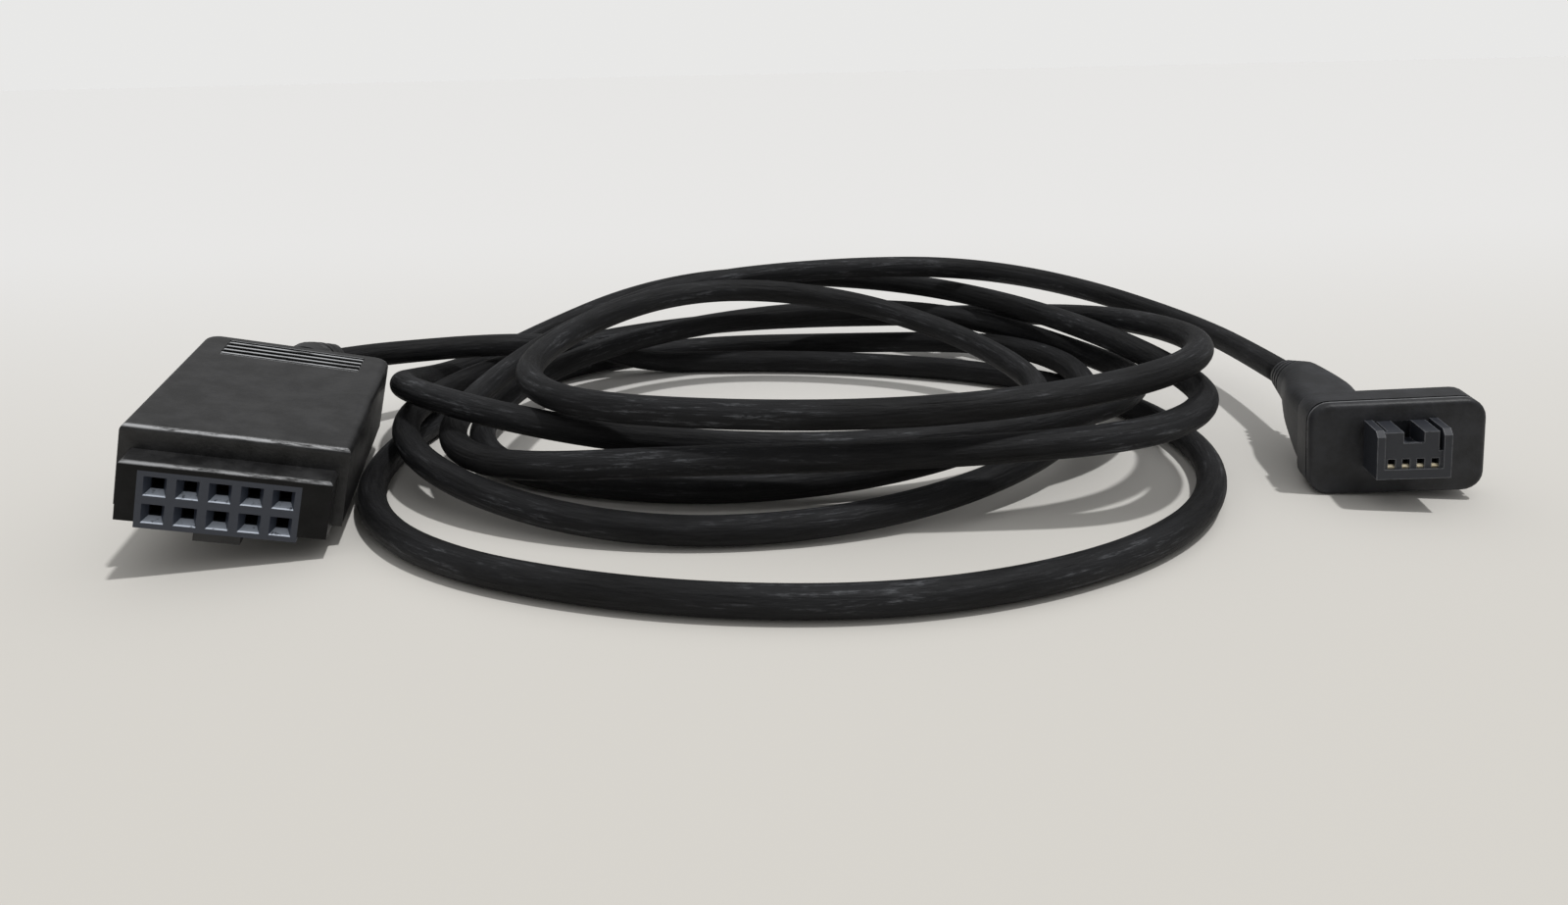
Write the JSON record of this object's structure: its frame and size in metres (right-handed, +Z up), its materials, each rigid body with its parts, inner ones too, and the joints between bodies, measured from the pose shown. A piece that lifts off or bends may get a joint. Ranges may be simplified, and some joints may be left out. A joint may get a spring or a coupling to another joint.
{
  "type": "data cable",
  "caption": "Thin black data cable in a loose coil, with a hooded two-row pin socket at one end and a small moulded plug with a keyed nose at the other.",
  "frame": {"origin": "on the table, below the middle of the box round the two plugs", "axes": "+X from the hooded socket to the moulded plug, +Y away from the viewer to where the coil's rear lies, +Z up"},
  "size_m": [0.1299, 0.0855, 0.0153],
  "materials": {
    "hood": "satin black, worn pale along the front edges",
    "socket_block": "satin slate blue-grey",
    "boot": "matt black",
    "contact_metal": "thin gilt plating",
    "plug_moulding": "satin black soft moulding",
    "nose_plastic": "satin black",
    "cable_jacket": "matt soft plastic with pale scuffs"
  },
  "bodies": {
    "root": {"host_hood_upper": "hood", "host_hood_lower": "hood", "host_socket_block": "socket_block", "host_contact_01": "contact_metal", "host_contact_02": "contact_metal", "host_contact_03": "contact_metal", "host_contact_04": "contact_metal", "host_contact_05": "contact_metal", "host_contact_06": "contact_metal", "host_contact_07": "contact_metal", "host_contact_08": "contact_metal", "host_contact_09": "contact_metal", "host_contact_10": "contact_metal", "host_cable_boot": "boot", "gauge_plug_body": "plug_moulding", "gauge_nose_shroud": "nose_plastic", "gauge_nose_block": "nose_plastic", "gauge_contact_1": "contact_metal", "gauge_contact_2": "contact_metal", "gauge_contact_3": "contact_metal", "gauge_contact_4": "contact_metal", "cable_hood_stretch": "cable_jacket", "cable_coil": "cable_jacket", "cable_plug_stretch": "cable_jacket"}
  },
  "joints": []
}
